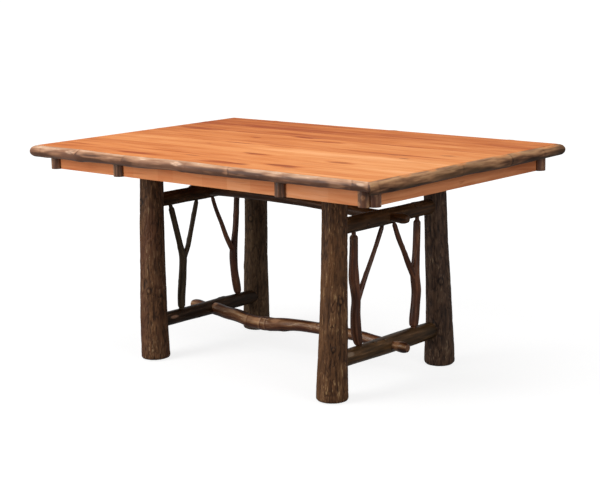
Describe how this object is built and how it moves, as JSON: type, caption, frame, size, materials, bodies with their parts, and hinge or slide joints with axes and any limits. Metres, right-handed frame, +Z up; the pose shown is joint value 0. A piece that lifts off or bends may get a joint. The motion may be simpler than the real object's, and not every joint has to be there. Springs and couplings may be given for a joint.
{
  "type": "rustic log dining table",
  "caption": "Rectangular table with an edge-glued board top trimmed in half-round saplings, on bark-covered log trestles with forked twigs, tied by natural limb stretchers.",
  "frame": {"origin": "on the floor under the middle of the top", "axes": "+Z up, +X along the top's long side, -Y towards the pictured long side"},
  "size_m": [1.543, 1.019, 0.762],
  "materials": {
    "board_wood": "satin varnish",
    "apron_wood": "satin varnish",
    "sapling_bark": "varnished bark",
    "leg_bark": "varnished bark",
    "rail_bark": "varnished bark",
    "twig_bark": "varnished bark",
    "stretcher_bark": "varnished bark",
    "cleat_wood": "sanded, unfinished",
    "pin_wood": "plain dowel",
    "screw_steel": "zinc plated"
  },
  "bodies": {
    "root": {"top_board_1": "board_wood", "top_board_2": "board_wood", "top_board_3": "board_wood", "top_board_4": "board_wood", "top_board_5": "board_wood", "top_board_6": "board_wood", "top_board_7": "board_wood", "top_board_8": "board_wood", "trim_front": "sapling_bark", "apron_front": "apron_wood", "trim_back": "sapling_bark", "apron_back": "apron_wood", "trim_left": "sapling_bark", "apron_left": "apron_wood", "trim_right": "sapling_bark", "apron_right": "apron_wood", "post_front_1": "sapling_bark", "post_back_1": "sapling_bark", "post_front_2": "sapling_bark", "post_back_2": "sapling_bark", "post_front_3": "sapling_bark", "post_back_3": "sapling_bark", "post_front_4": "sapling_bark", "post_back_4": "sapling_bark", "post_left_1": "sapling_bark", "post_right_1": "sapling_bark", "post_left_2": "sapling_bark", "post_right_2": "sapling_bark", "corner_block_front_left": "cleat_wood", "leg_front_left": "leg_bark", "twig_front_left": "twig_bark", "corner_block_front_right": "cleat_wood", "leg_front_right": "leg_bark", "twig_front_right": "twig_bark", "corner_block_back_left": "cleat_wood", "leg_back_left": "leg_bark", "twig_back_left": "twig_bark", "corner_block_back_right": "cleat_wood", "leg_back_right": "leg_bark", "twig_back_right": "twig_bark", "cleat_left": "cleat_wood", "cleat_middle": "cleat_wood", "cleat_right": "cleat_wood", "rail_upper_left": "rail_bark", "rail_upper_right": "rail_bark", "stretcher_upper": "stretcher_bark", "rail_lower_left": "rail_bark", "rail_lower_right": "rail_bark", "stretcher_lower": "stretcher_bark", "leg_pins": "pin_wood", "rail_pins": "pin_wood", "top_screws": "screw_steel"}
  },
  "joints": []
}
